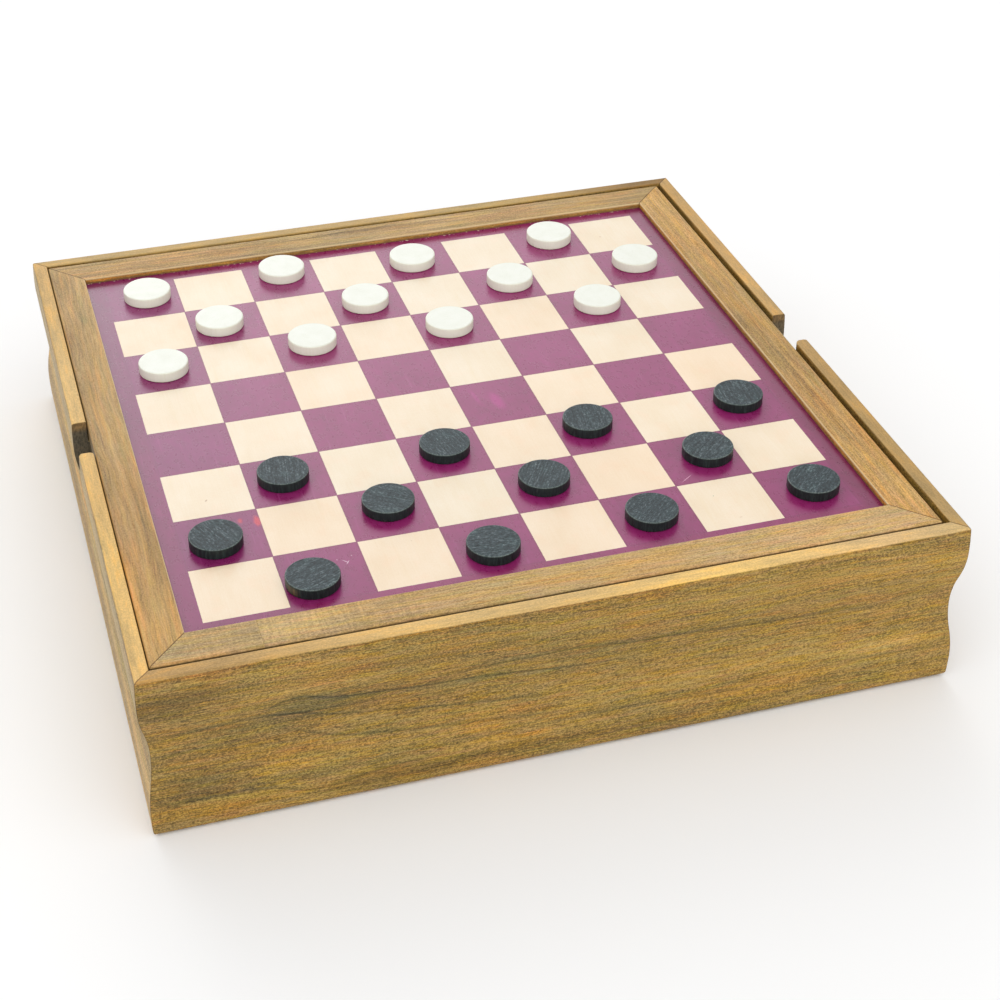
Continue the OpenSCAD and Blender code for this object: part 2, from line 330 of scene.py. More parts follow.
    # warmer and greener drifts of the stain, broad and fine
    drift = n.noise(n.vec(n.mul(l, 0.020), n.mul(a, 0.10), n.add(n.mul(b, 0.10), seed + 21.0)), 1.0, 3.0, 0.55)
    col = n.mix(n.mul(n.step(drift, 0.50, 0.70), 0.65), col, (1.15, 0.96, 0.72), "MULTIPLY")
    col = n.mix(n.mul(n.step(drift, 0.50, 0.32), 0.65), col, (0.88, 0.97, 1.02), "MULTIPLY")
    tint = n.noise(n.vec(n.mul(l, 0.075), n.mul(aw, 0.62), n.add(n.mul(b, 0.62), seed + 51.0)), 1.0, 3.0, 0.65)
    col = n.mix(n.mul(n.step(tint, 0.47, 0.70), 0.75 * fine), col, (1.08, 1.02, 0.50), "MULTIPLY")
    col = n.mix(n.mul(n.step(tint, 0.53, 0.30), 0.75 * fine), col, (0.95, 0.97, 1.30), "MULTIPLY")
    rust = n.noise(n.vec(n.mul(l, 0.060), n.mul(aw, 0.70), n.add(n.mul(b, 0.70), seed + 71.0)), 1.0, 3.0, 0.65)
    col = n.mix(n.mul(n.step(rust, 0.50, 0.68), 0.6 * fine + 0.15 * streak), col, (1.14, 0.92, 0.88), "MULTIPLY")
    col = n.mix(n.mul(n.step(rust, 0.50, 0.32), 0.6 * fine + 0.15 * streak), col, (0.90, 1.03, 0.92), "MULTIPLY")
    if streak:
        col = n.mix(n.mul(n.step(stripe, 0.52, 0.70), 0.8 * streak), col, (1.14, 0.98, 0.82), "MULTIPLY")
        col = n.mix(n.mul(n.step(stripe, 0.48, 0.30), 0.8 * streak), col, (0.93, 0.98, 1.04), "MULTIPLY")
    for *where, colour, strength in stains:
        col = n.mix(n.mul(blot(*where), strength), col, colour, "MULTIPLY")
    if lines:
        col = n.mix(n.m("MINIMUM", mist, 0.90), col, (0.68, 0.81, 1.03), "MULTIPLY")
        col = n.mix(n.m("MINIMUM", wet, 0.92), col, (0.43, 0.43, 0.45), "MULTIPLY")
    # bands of colour by height; on the left wall the pale upper band is a painted reflection
    for lo, hi, soft, colour, strength in height_tints:
        height_band = n.mul(n.step(z, lo - soft, lo + soft), n.step(z, hi - soft, hi + soft, 1.0, 0.0))
        shade = n.lin(v, 0.2, 0.8, 0.85, 1.15)
        col = n.mix(n.mul(height_band, strength), col, n.mix(1.0, colour, n.vec(shade, shade, shade), "MULTIPLY"))
    # short dark pores
    pore = n.noise(n.vec(n.mul(l, 0.28), n.mul(aw, 1.9), n.add(n.mul(b, 1.9), seed + 31.0)), 1.0, 1.0, 0.5)
    pore = n.step(pore, 0.62, 0.72)
    col = n.mix(n.mul(pore, 0.35), col, (0.55, 0.50, 0.42), "MULTIPLY")
    if tones:
        stops = [((t + 150.0) / 300.0, tuple(0.5 * k for k in c)) for t, c in tones]
        tone = n.ramp(n.lin(l, -150.0, 150.0), stops)
        col = n.mix(1.0, n.mix(1.0, col, (2.0, 2.0, 2.0), "MULTIPLY"), tone, "MULTIPLY")

    for lo, hi, strength in chatter:
        rib = n.noise(n.vec(n.mul(l, 1.15), n.mul(a, 0.10), n.add(b, seed + 41.0)), 1.0, 1.0, 0.5)
        rib2 = n.noise(n.vec(n.mul(l, 0.9), n.mul(a, 1.2), n.add(b, seed + 43.0)), 1.0, 2.0, 0.6)
        where = n.mul(n.step(l, lo - 0.01, lo), n.step(l, hi - 12.0, hi, 1.0, 0.0))
        mark = n.mul(n.step(n.add(n.mul(rib, 0.7), n.mul(rib2, 0.3)), 0.44, 0.60), where)
        col = n.mix(n.mul(mark, strength), col, (1.5, 1.48, 1.42), "MULTIPLY")

    normal = n.node("ShaderNodeTexCoord").outputs["Normal"]
    nx, ny, nz = n.split(normal)
    nl = {"x": nx, "y": ny, "z": nz}[axes[0]]
    end = n.step(n.m("ABSOLUTE", nl), 0.80, 0.95)
    if lip:
        # the wall's thin top edge has lost some of its stain, down to a ragged line at the arris
        edge = n.add(z, n.mul(n.sub(slow, 0.5), 1.3))
        edge = n.add(edge, n.mul(n.sub(wave, 0.5), 0.6))
        top = n.step(edge, 67.6, 68.2)
        pale = n.ramp(n.lin(l, -150.0, 150.0), [((t + 150.0) / 300.0, c) for t, c in lip])
        marble = n.noise(n.vec(n.mul(l, 0.06), n.mul(a, 0.3), n.add(n.mul(b, 0.35), seed + 81.0)), 1.0, 3.0, 0.6)
        grain = n.add(n.lin(v, 0.15, 0.85, 0.83, 1.13), n.lin(marble, 0.30, 0.70, -0.15, 0.15))
        pale = n.mix(1.0, pale, n.vec(grain, grain, grain), "MULTIPLY")
        pale = n.mix(n.mul(n.step(marble, 0.52, 0.66), 0.8), pale, (1.06, 0.96, 0.72), "MULTIPLY")
        pale = n.mix(n.mul(n.step(marble, 0.50, 0.34), 0.8), pale, (0.94, 0.98, 1.06), "MULTIPLY")
        col = n.mix(n.mul(top, 0.92), col, pale)
        scorch = n.mul(n.step(edge, 66.5, 67.3), n.step(edge, 67.5, 67.9, 1.0, 0.0))
        col = n.mix(n.mul(n.mul(scorch, n.step(wave, 0.40, 0.58)), 0.60), col, (0.98, 0.78, 0.72), "MULTIPLY")
        # painted shade in the gap round the board, on the lip's inner face
        gap = n.mul(n.step(n.m("ABSOLUTE", b), 144.7, 144.2), n.step(z, gap_top, gap_top - 1.4))
        gap = n.mul(gap, n.step(z, 59.4, 61.5))
        col = n.mix(n.mul(gap, 0.75), col, (0.075, 0.052, 0.025))
        # the mitres
        away = n.m("ABSOLUTE", n.sub(n.m("ABSOLUTE", x), n.m("ABSOLUTE", y)))
        seam = n.step(away, 0.12, 0.42, 1.0, 0.0)
        seam = n.mul(seam, n.step(nz, 0.3, 0.7, 0.45, 0.9))
        col = n.mix(seam, col, (0.30, 0.24, 0.18), "MULTIPLY")
        # sawn ends in the notches: dark where the stain has sunk into the end grain, and painted shade makes them
        # darker further down the narrow slot
        deep = n.step(z, 66.4, 63.6)
        sawn = n.noise(n.vec(n.mul(x, 1.4), n.mul(y, 1.4), n.mul(z, 0.8)), 1.0, 3.0, 0.6)
        dark_end = n.mix(n.step(sawn, 0.35, 0.65), *sawn_end)
        brown_end = n.mix(n.step(sawn, 0.35, 0.65), (0.11, 0.065, 0.025), (0.25, 0.15, 0.055))
        inside = n.step(n.m("ABSOLUTE", {"x": x, "y": y}[axes[0]]), 60.0, 50.0)
        col = n.mix(n.mul(n.mul(end, inside), 0.93), col, n.mix(deep, brown_end, dark_end))
    if rail:
        # a pale line of wear along the inner arris, and the mitres; painted shade on the outer face in the gap round
        # the board and a painted highlight along the outer arris; the inner face yellower, and dark brown at its
        # ragged foot
        ax, ay = n.m("ABSOLUTE", n.sub(x, DX)), n.m("ABSOLUTE", n.sub(y, DY))
        if rail == "x":
            inner, outer = n.sub(ay, BD - 15.0), n.sub(BD, ay)
        else:
            inner, outer = n.sub(ax, BW - 14.2), n.sub(BW, ax)
        # painted shade on the rail's outer face in the gap round the board
        gap = n.mul(n.step(outer, 0.50, 0.15), n.step(z, 68.15, 67.7))
        col = n.mix(n.mul(n.mul(gap, n.step(z, 59.4, 61.5)), 0.75), col, (0.075, 0.052, 0.025))
        wear_and_highlight = n.mul(n.step(inner, 0.12, 0.50, 1.0, 0.0), n.step(z, 67.6, 68.1))
        col = n.mix(n.mul(wear_and_highlight, 0.75), col, (0.78, 0.60, 0.33))
        # painted highlight along the rail's outer arris
        wear_and_highlight = n.mul(n.step(outer, 0.50, 0.15), n.step(z, 67.9, 68.2))
        col = n.mix(n.mul(wear_and_highlight, outer_highlight), col, (0.78, 0.62, 0.36))
        low = n.mul(n.step(inner, 0.10, 0.30, 1.0, 0.0), n.step(z, 67.9, 67.4))
        col = n.mix(n.mul(low, 0.80), col, (1.15, 0.93, 0.50), "MULTIPLY")
        ragged = n.noise(n.vec(n.mul(l, 0.30), n.mul(z, 0.2), seed + 91.0), 1.0, 3.0, 0.7)
        foot = n.mul(low, n.step(n.add(z, n.mul(n.sub(ragged, 0.5), 3.0)), 67.1, 66.5))
        col = n.mix(n.mul(foot, 0.75), col, (0.20, 0.12, 0.045))
        away = n.m("ABSOLUTE", n.sub(n.mul(n.sub(BW, ax), 15.0 / 20.65), n.mul(n.sub(BD, ay), 14.2 / 20.65)))
        seam = n.step(away, 0.10, 0.32, 1.0, 0.0)
        col = n.mix(n.mul(seam, 0.85), col, (0.30, 0.23, 0.15), "MULTIPLY")
    relief = n.add(n.mul(fibre, 0.5), n.add(n.mul(speck, 0.35), n.mul(pore, -0.35)))
    gloss = n.add(n.lin(speck, 0.25, 0.75, rough + 0.10, rough - 0.06), n.mul(pore, 0.12))
    n.surface(Base_Color=col, Roughness=gloss, Specular_IOR_Level=0.30, Normal=n.bump(relief, 0.00010, 0.6))
    return m


def dress(names, mat):
    for x in names if isinstance(names, (list, tuple)) else [names]:
        for s in NODES[x].material_slots:
            s.material = mat


STAIN = dict(dark=(0.172, 0.106, 0.027), mid=(0.313, 0.190, 0.043), light=(0.47, 0.289, 0.075))

dress("front_wall", wood(
    "front_wall_wood", "xzy", (37, -128), 1.0, tilt=-0.02, spacing=4.2, wobble=0.7, bands=0.8, fine=1.25, **STAIN,
    lip=[(-150, (0.47, 0.28, 0.095)), (-120, (0.50, 0.30, 0.10)), (-60, (0.72, 0.47, 0.172)), (0, (0.70, 0.46, 0.172)),
         (60, (0.865, 0.565, 0.18)), (120, (0.725, 0.478, 0.21)), (150, (0.60, 0.42, 0.18))],
    tones=[(-140, (0.88, 0.90, 0.92)), (-100, (0.93, 0.95, 0.97)), (-60, (0.95, 0.96, 0.96)), (-20, (0.96, 0.975, 0.96)),
           (20, (0.91, 0.945, 0.965)), (60, (0.955, 0.965, 0.93)), (100, (0.97, 0.985, 0.945)), (135, (1.0, 1.0, 0.93))],
    lines=[
        ([(-99, 49.6), (-88, 47.2), (-72, 45.0), (-48, 43.0), (-20, 41.0), (0, 38.5), (30, 37.0)], 3.4, 0.5, 0.85),
        ([(-152, 40.6), (-132, 42.2), (-110, 43.0), (-97, 41.5), (-85, 37.8), (-60, 34.0), (-25, 29.5), (20, 26.5)], 0.6, 1.8, 0.62),
        ([(-106, 38.0), (-98, 34.0), (-82, 27.9), (-68, 25.8), (-42, 23.2), (-15, 20.9), (10, 18.5)], 0.6, 2.4, 0.62),
        ([(-152, 33.0), (-130, 34.0), (-112, 33.6), (-100, 31.0)], 0.6, 1.2, 0.35),
        ([(-50, 47.6), (-18, 47.2), (0, 47.6), (20, 45.2), (40, 44.4), (62, 42.4), (85, 41.2), (112, 39.6), (140, 38.4)], 0.7, 3.4, 0.70),
        ([(-152, 13.0), (-130, 13.2), (-112, 12.8), (-92, 7.6), (-70, 10.4), (-52, 11.6), (-30, 9.8)], 0.5, 3.0, 0.55),
        ([(0, 17.2), (30, 15.8), (60, 14.2), (84, 14.6)], 0.6, 2.6, 0.50),
        ([(104, 16.8), (120, 16.6), (138, 15.9), (152, 15.4)], 0.8, 1.6, 0.45),
        ([(-108.5, 44.4), (-106, 46.8), (-101.5, 48.8), (-96, 49.7), (-90, 48.2), (-82, 46.5)], 1.4, 0.4, 0.80),
        ([(-108.5, 45.2), (-105.5, 42.9), (-99, 41.7), (-90, 41.3), (-80, 41.0), (-66, 40.4)], 0.4, 1.6, 0.60),
    ],
    patches=[
        (-60, 44.2, 42, 2.8, -0.10), (-76, 34.6, 16, 3.0, 0.12), (-84, 52.5, 34, 3.6, 0.12), (60, 24.0, 60, 5.0, 0.08),
        (125, 20.5, 36, 3.0, 0.24), (-20, 7.0, 46, 3.5, -0.12), (20, 5.0, 30, 3.0, -0.12), (118, 62.5, 9, 0.8, 0.30),
    ],
    stains=[
        (-91, 45.2, 23, 8.0, (0.56, 0.72, 1.02), 0.78), (-140, 56.5, 26, 9.5, (0.60, 0.62, 0.68), 0.85),
        (-132, 19.0, 20, 9.0, (0.62, 0.66, 0.74), 0.80), (-103, 20.5, 17, 3.6, (1.30, 1.18, 0.84), 0.90),
        (-120, 66.5, 24, 2.2, (1.10, 0.97, 0.88), 0.45), (-114, 38.0, 20, 4.5, (0.88, 0.96, 0.90), 0.60),
        (-132, 8.5, 56, 4.2, (1.16, 1.08, 0.62), 0.90), (-62, 7.0, 34, 7.0, (0.65, 0.66, 0.52), 0.90),
        (62, 17.0, 24, 2.8, (0.76, 0.86, 0.92), 0.60), (20, 61.0, 24, 3.0, (0.84, 0.94, 0.98), 0.50),
        (-30, 13.5, 30, 2.4, (1.20, 1.08, 0.86), 0.60), (96, 60.5, 46, 3.6, (0.92, 0.94, 0.92), 0.60),
        (-18, 8.0, 26, 5.0, (1.0, 0.98, 0.76), 0.80), (62, 8.0, 34, 6.0, (1.14, 1.14, 1.0), 0.80),
        (138, 8.0, 26, 7.0, (1.15, 1.13, 1.0), 0.80), (137, 45.0, 22, 8.0, (0.82, 0.83, 0.70), 0.80),
        (100, 34.0, 24, 6.0, (0.86, 0.87, 0.83), 0.80), (118, 22.5, 40, 5.0, (1.14, 1.12, 1.18), 0.80),
        (-128, 61.0, 20, 4.5, (0.88, 0.84, 0.77), 0.80),
    ]))
dress("rear_wall", wood(
    "rear_wall_wood", "xzy", (18, 134), 2.0, tilt=0.03, spacing=4.6, bands=1.1, **STAIN,
    lip=[(-140, (0.49, 0.33, 0.12)), (-60, (0.545, 0.36, 0.127)), (0, (0.525, 0.343, 0.121)), (60, (0.495, 0.33, 0.108)),
         (95, (0.41, 0.258, 0.074)), (130, (0.24, 0.128, 0.024))],
    lines=[([(-152, 30), (-60, 33), (20, 28), (90, 25), (152, 27)], 2.2, 0.8, 0.55),
           ([(-90, 50), (-20, 46), (60, 47), (140, 51)], 1.8, 0.8, 0.45)]))
dress("left_wall", wood(
    "left_wall_wood", "yzx", (48, -131), 3.0, tilt=-0.025, spacing=4.4, bands=1.0,
    lip=[(-150, (0.775, 0.487, 0.163)), (-80, (0.755, 0.480, 0.149)), (-40, (0.66, 0.41, 0.132)), (45, (0.72, 0.465, 0.165)),
         (80, (0.61, 0.395, 0.138)), (130, (0.60, 0.363, 0.112))],
    dark=(0.22, 0.145, 0.052), mid=(0.42, 0.280, 0.098), light=(0.60, 0.42, 0.165),
    # bands of colour by height: the pale grey-beige upper band on the moulding is a painted reflection of the bright
    # room, then a browner band low down and a dark line just under the top edge
    height_tints=[(50, 66.5, 6.0, (0.48, 0.385, 0.225), 0.42), (8, 22, 7.0, (0.47, 0.30, 0.16), 0.30),
            (67.0, 67.7, 0.2, (0.17, 0.125, 0.07), 0.60)],
    lines=[([(-152, 24), (-70, 27), (0, 23), (80, 21), (152, 24)], 2.0, 0.8, 0.5)]))
dress("right_wall", wood(
    "right_wall_wood", "yzx", (26, 133), 4.0, tilt=0.025, spacing=4.6, bands=1.0, **STAIN,
    lip=[(-140, (0.465, 0.30, 0.112)), (-80, (0.45, 0.275, 0.089)), (-40, (0.45, 0.27, 0.088)), (40, (0.56, 0.34, 0.115)),
         (80, (0.525, 0.313, 0.106)), (130, (0.495, 0.297, 0.094))],
    gap_top=65.8, sawn_end=((0.070, 0.052, 0.030), (0.165, 0.125, 0.072)),
    lines=[([(-152, 38), (-80, 35), (0, 37), (80, 42), (152, 40)], 2.0, 0.8, 0.55),
           ([(-120, 14), (-40, 17), (60, 16), (140, 13)], 1.6, 1.2, 0.40)]))

RAIL = dict(dark=(0.270, 0.170, 0.062), mid=(0.480, 0.305, 0.112), light=(0.66, 0.435, 0.175))
dress("front_rail_short", wood(
    "front_rail_short_wood", "xyz", (-120, 40), 5.0, tilt=0.02, spacing=2.2, wobble=0.5, bands=0.5, contrast=0.85, fine=0.80, streak=0.25, rail="x",
    chatter=[(-160, -80, 0.30)], dark=(0.23, 0.155, 0.060), mid=(0.385, 0.262, 0.104), light=(0.53, 0.375, 0.165)))
dress("front_rail_long", wood(
    "front_rail_long_wood", "xyz", (-126, 30), 6.0, tilt=-0.01, spacing=2.2, wobble=0.5, bands=0.5, contrast=0.88, fine=0.85, streak=0.25, rail="x",
    chatter=[(-105.4, -42, 0.42)], dark=(0.27, 0.175, 0.068), mid=(0.475, 0.315, 0.130), light=(0.64, 0.445, 0.20),
    tones=[(-105, (0.88, 0.87, 0.83)), (-70, (0.84, 0.82, 0.77)), (-55, (0.82, 0.775, 0.745)), (-30, (1.03, 0.98, 0.85)), (5, (0.96, 0.95, 0.86)),
           (35, (0.95, 0.95, 0.91)), (65, (1.08, 1.03, 0.96)), (95, (1.15, 1.11, 1.08)), (122, (1.12, 1.06, 1.03))],
    patches=[(-92, -134, 16, 7, 0.08)]))
dress("rear_rail", wood(
    "rear_rail_wood", "xyz", (126, 30), 7.0, tilt=0.01, spacing=2.4, wobble=0.9, bands=0.9, contrast=0.85, fine=0.75, streak=0.75, rail="x", **RAIL,
    tones=[(-130, (0.97, 0.92, 0.83)), (-85, (0.97, 0.93, 0.88)), (-45, (0.81, 0.83, 0.80)), (-5, (0.86, 0.90, 0.94)),
           (35, (0.95, 0.93, 0.90)), (75, (0.87, 0.86, 0.84)), (120, (0.71, 0.735, 0.705))],
    patches=[(-6, 137.8, 46, 2.0, -0.30), (-70, 136, 40, 3.0, -0.06), (34, 133, 30, 2.6, 0.14), (40, 139.5, 26, 1.2, 0.16)]))
dress("left_rail", wood(
    "left_rail_wood", "yxz", (-132, 34), 8.0, tilt=0.012, spacing=2.6, wobble=1.5, bands=0.6, contrast=0.78, fine=0.50, streak=0.9, streak_wide=1.6, rail="y", **RAIL,
    tones=[(-130, (1.0, 0.93, 0.78)), (-80, (0.89, 0.78, 0.68)), (-40, (0.79, 0.745, 0.68)), (0, (0.81, 0.80, 0.81)),
           (40, (0.83, 0.86, 0.87)), (80, (0.93, 0.88, 0.82)), (130, (1.04, 1.05, 1.06))],
    patches=[(0, -136.5, 90, 1.3, 0.14), (-108, -136, 30, 3.0, 0.08)],
    stains=[(92, -134.5, 5, 1.8, (0.72, 0.86, 0.80), 0.7)]))
dress("right_rail", wood(
    "right_rail_wood", "yxz", (140, 30), 9.0, tilt=-0.012, spacing=2.4, wobble=0.6, bands=0.7, contrast=0.80, fine=0.80, streak=0.45, rail="y", outer_highlight=0.65,
    dark=(0.22, 0.132, 0.044), mid=(0.405, 0.250, 0.085), light=(0.57, 0.370, 0.140),
    tones=[(-130, (1.34, 1.22, 1.08)), (-80, (1.20, 1.12, 1.02)), (-40, (1.12, 1.05, 0.95)), (0, (0.98, 0.96, 0.88)),
           (40, (0.97, 0.93, 0.86)), (80, (1.18, 1.11, 1.0)), (130, (1.36, 1.28, 1.13))],
    patches=[(-40, 134, 50, 2.0, -0.12), (20, 138.5, 50, 1.4, 0.10)],
    stains=[(-118, 137, 12, 5, (1.12, 1.10, 1.06), 0.7), (-96, 134, 14, 3, (1.12, 1.10, 1.04), 0.7), (104, 136, 16, 4, (1.14, 1.10, 0.98), 0.7),
            (64, 138, 12, 3, (1.12, 1.06, 0.94), 0.7), (-18, 137, 14, 3, (0.86, 0.90, 0.92), 0.7), (22, 134, 16, 3, (1.10, 1.02, 0.90), 0.6)]))

# ---------------------------------------------------------------- playing panel


def panel():
    m, n = material("playing_panel_paint")
    p = millimetres(n)
    x, y, z = n.split(p)
    x, y = n.sub(x, DX), n.sub(y, DY)
    sq = 30.4
    ragged = n.noise(n.vec(n.mul(x, 1.1), n.mul(y, 1.1), 0.0), 1.0, 2.0, 0.6)
    u = n.add(n.mul(n.add(x, n.mul(n.sub(ragged, 0.5), 0.22)), 1.0 / sq), 4.0)
    v = n.add(n.mul(n.add(y, n.mul(n.sub(ragged, 0.5), 0.22)), 1.0 / sq), 4.0)
    fu, fv = n.m("FLOOR", u), n.m("FLOOR", v)
    even = n.m("LESS_THAN", n.m("MODULO", n.add(n.add(fu, fv), 40.0), 2.0), 0.5)
    inside = n.mul(n.m("LESS_THAN", n.m("ABSOLUTE", n.sub(u, 4.0)), 4.0), n.m("LESS_THAN", n.m("ABSOLUTE", n.sub(v, 4.0)), 4.0))
    eu = n.sub(0.5, n.m("ABSOLUTE", n.sub(n.sub(u, fu), 0.5)))
    ev = n.sub(0.5, n.m("ABSOLUTE", n.sub(n.sub(v, fv), 0.5)))
    rim = n.m("MINIMUM", eu, ev)  # distance from the square's edge, in squares
    cream = n.mul(n.mul(even, inside), n.step(rim, 0.004, 0.009))

    grain = n.noise(n.vec(n.mul(x, 1.3), n.mul(y, 0.06), 2.0), 1.0, 3.0, 0.6)
    fine = n.noise(n.vec(n.mul(x, 2.6), n.mul(y, 0.9), 5.0), 1.0, 2.0, 0.65)
    cloud = n.noise(n.vec(n.mul(x, 0.06), n.mul(y, 0.035), 9.0), 1.0, 3.0, 0.55)
    mottle = n.noise(n.vec(n.mul(x, 0.35), n.mul(y, 0.22), 13.0), 1.0, 3.0, 0.6)
    each = n.noise(n.vec(n.add(n.mul(fu, 7.31), 0.5), n.add(n.mul(fv, 5.17), 0.5), 3.0), 1.0, 0.0, 0.5)

    # cream: bare veneer under varnish
    c = n.ramp(n.add(n.add(n.mul(grain, 0.22), n.mul(fine, 0.28)), n.mul(cloud, 0.50)),
               [(0.34, (0.760, 0.625, 0.440)), (0.50, (0.800, 0.682, 0.510)), (0.66, (0.835, 0.735, 0.585))])
    c = n.mix(n.step(each, 0.40, 0.62), c, (1.02, 0.965, 0.93), "MULTIPLY")
    ray = n.noise(n.vec(n.mul(x, 0.30), n.mul(y, 0.025), 17.0), 1.0, 2.0, 0.5)
    c = n.mix(n.mul(n.step(ray, 0.54, 0.74), 0.40), c, (0.975, 0.955, 0.88), "MULTIPLY")
    blush = n.noise(n.vec(n.mul(x, 0.11), n.mul(y, 0.09), 19.0), 1.0, 2.0, 0.5)
    c = n.mix(n.mul(n.step(blush, 0.52, 0.70), 0.55), c, (1.015, 0.960, 0.935), "MULTIPLY")
    c = n.mix(n.mul(n.step(x, -20.0, 90.0), n.step(y, 60.0, -40.0)), c, (1.045, 1.015, 0.99), "MULTIPLY")

    # purple: stain, thin in places
    q = n.add(n.add(n.mul(mottle, 0.45), n.mul(fine, 0.15)), n.mul(cloud, 0.40))
    s = n.ramp(q, [(0.28, (0.172, 0.006, 0.072)), (0.46, (0.236, 0.011, 0.103)), (0.60, (0.278, 0.018, 0.131)), (0.80, (0.34, 0.036, 0.175))])
    s = n.mix(n.step(x, -50.0, -118.0), s, (0.84, 0.95, 0.93), "MULTIPLY")
    thin = n.noise(n.vec(n.mul(x, 0.85), n.mul(y, 0.045), 23.0), 1.0, 2.0, 0.55)
    s = n.mix(n.mul(n.step(thin, 0.58, 0.76), 0.30), s, (0.40, 0.07, 0.24))
    edge_ink = n.mul(n.step(rim, 0.020, 0.006), inside)
    s = n.mix(n.mul(edge_ink, 0.45), s, (0.15, 0.012, 0.055))
    # the border's stain is redder, and the left border darker towards the rear; deepest along the right side, where
    # the darkening is a painted reflection of the right rail
    s = n.mix(n.mul(n.step(x, -119.0, -123.0), n.step(y, -30.0, 40.0)), s, (0.89, 0.88, 0.95), "MULTIPLY")
    border = n.step(n.m("MAXIMUM", n.m("ABSOLUTE", x), n.m("ABSOLUTE", y)), 121.4, 122.6)
    s = n.mix(n.mul(border, 0.8), s, (0.98, 0.9, 0.84), "MULTIPLY")
    # painted reflection of the right rail: the right border darker
    s = n.mix(n.mul(n.step(x, 118.0, 126.0), 0.9), s, (0.72, 0.75, 0.70), "MULTIPLY")

    def spot(px, py, rx, ry, colour, amount, base, turn=0.0, wild=0.9, soft=(0.3, 1.0)):
        ca, sa = math.cos(turn), math.sin(turn)
        ax, ay = n.sub(x, px), n.sub(y, py)
        rx_, ry_ = n.add(n.mul(ax, ca / rx), n.mul(ay, sa / rx)), n.add(n.mul(ax, -sa / ry), n.mul(ay, ca / ry))
        r = n.m("SQRT", n.add(n.mul(rx_, rx_), n.mul(ry_, ry_)))
        r = n.add(r, n.mul(n.sub(mottle, 0.5), wild))
        return n.mix(n.mul(n.step(r, soft[0], soft[1], 1.0, 0.0), amount), base, colour)

    s = spot(-98.0, -66.4, 1.3, 2.3, (0.60, 0.03, 0.050), 0.70, s, wild=1.3)
    s = spot(-92.3, -68.6, 1.8, 4.2, (0.64, 0.035, 0.055), 0.75, s, wild=1.3)
    s = spot(15.0, -15.0, 3.2, 9.0, (0.46, 0.015, 0.24), 0.50, s, turn=0.12)
    s = spot(7.5, -10.0, 1.2, 8.0, (0.38, 0.02, 0.20), 0.5, s, turn=0.1)
    s = spot(78.0, -29.5, 2.5, 4.0, (0.42, 0.02, 0.22), 0.4, s)
    s = spot(66.5, -87.6, 0.22, 4.2, (0.72, 0.35, 0.50), 0.85, s, turn=-0.95, wild=0.2)
    s = spot(-67.4, -101.2, 0.20, 1.7, (0.80, 0.62, 0.72), 0.9, s, turn=0.75, wild=0.2)
    s = spot(-66.6, -102.0, 0.20, 1.5, (0.80, 0.62, 0.72), 0.9, s, turn=-0.6, wild=0.2)
    s = spot(-70.0, -99.6, 0.30, 0.35, (0.80, 0.55, 0.68), 0.8, s, wild=0.2)
    s = spot(-64.5, -98.4, 0.25, 0.25, (0.80, 0.55, 0.68), 0.8, s, wild=0.2)
    c = spot(-107.6, -50.4, 0.45, 0.9, (0.42, 0.24, 0.12), 0.7, c, turn=-0.6)
    c = spot(71.6, -101.0, 0.30, 0.35, (0.20, 0.30, 0.16), 0.8, c)
    c = spot(101.2, 105.4, 0.7, 0.4, (0.50, 0.30, 0.16), 0.7, c)
    c = spot(76.0, -116.3, 0.9, 0.5, (0.60, 0.42, 0.26), 0.35, c, turn=0.4)
    c = spot(61.0, 8.0, 0.30, 1.4, (0.60, 0.42, 0.26), 0.35, c)
    c = spot(-42.0, -96.0, 0.25, 0.4, (0.45, 0.30, 0.18), 0.5, c)

    face = n.mix(cream, s, c)
    # bits of wood and glue left along the foot of the rear rail
    foot = n.sub(y, BD - 15.0 - 0.9)
    crumb = n.voronoi(n.vec(n.mul(x, 0.62), n.mul(y, 0.8), 0.0), 1.0)
    some = n.noise(n.vec(n.mul(x, 0.035), 0.0, 31.0), 1.0, 1.0, 0.5)
    crumbs = n.mul(n.mul(n.step(crumb, 0.30, 0.18), n.step(foot, -0.1, 0.25)), n.step(some, 0.38, 0.52))
    face = n.mix(n.mul(crumbs, 0.9), face, (0.88, 0.74, 0.58))
    # the underside and edges are bare birch plywood
    ply = n.ramp(n.add(n.mul(grain, 0.7), n.mul(fine, 0.3)), [(0.3, (0.50, 0.35, 0.19)), (0.55, (0.64, 0.47, 0.28)), (0.75, (0.72, 0.56, 0.36))])
    col = n.mix(n.step(z, 65.6, 65.8), ply, face)
    gloss = n.add(n.lin(mottle, 0.3, 0.7, 0.25, 0.33), n.mul(cream, 0.05))
    gloss = n.mix(n.step(z, 65.6, 65.8), (0.6, 0.6, 0.6), n.vec(gloss, gloss, gloss))
    n.surface(Base_Color=col, Roughness=gloss, Specular_IOR_Level=0.62,
              Normal=n.bump(grain, 0.00002, 0.25))
    return m


dress("playing_panel", panel())

# ---------------------------------------------------------------- draughtsmen


